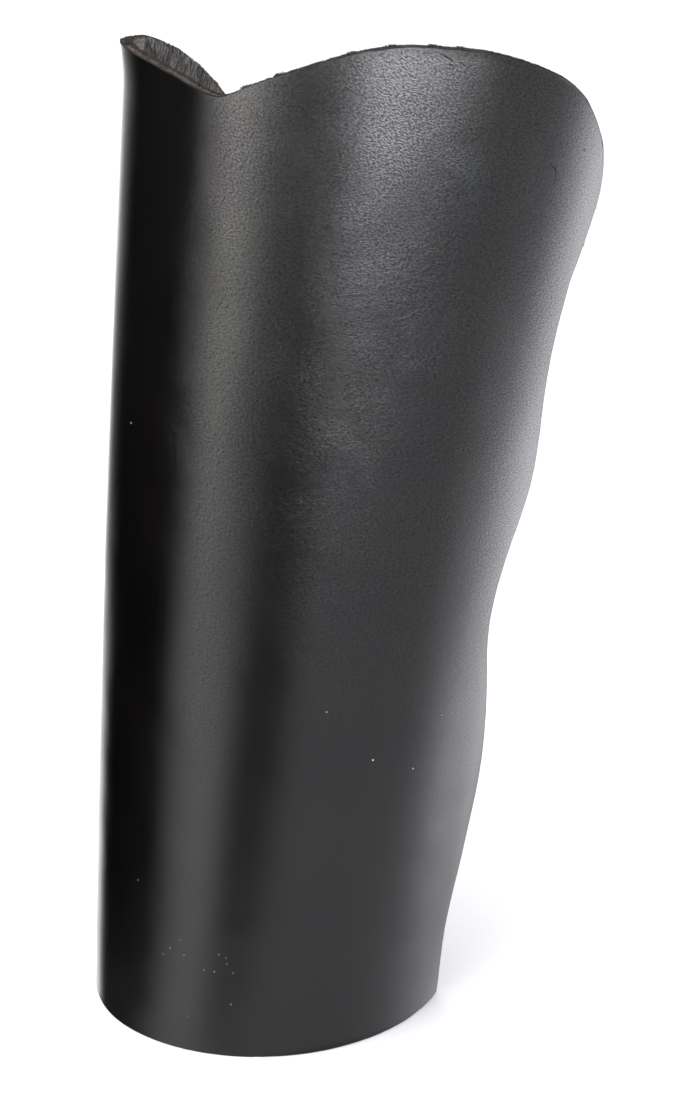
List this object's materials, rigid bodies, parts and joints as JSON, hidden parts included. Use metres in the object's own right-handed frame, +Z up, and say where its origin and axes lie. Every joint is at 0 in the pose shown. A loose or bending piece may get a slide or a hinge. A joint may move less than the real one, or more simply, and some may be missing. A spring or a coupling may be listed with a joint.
{
  "type": "leather gauntlet",
  "caption": "Plain forearm gauntlet of one thick leather panel, curled into an open tube with scalloped side edges and a two-lobed elbow rim.",
  "frame": {"origin": "on the ground under the middle of the panel's bounding box, with the panel standing on its wrist edge", "axes": "+Z up from the wrist edge to the elbow rim, -Y towards the viewer of the picture, +X to the viewer's right; the side opening faces back and right"},
  "size_m": [0.1308, 0.1068, 0.2588],
  "materials": {
    "leather": "black vegetable-tanned hide with a fine pebbled grain and a low waxed sheen, raw fibrous cut edges and a grey-brown flesh side"
  },
  "bodies": {
    "root": {"leather_panel": "leather"}
  },
  "joints": []
}
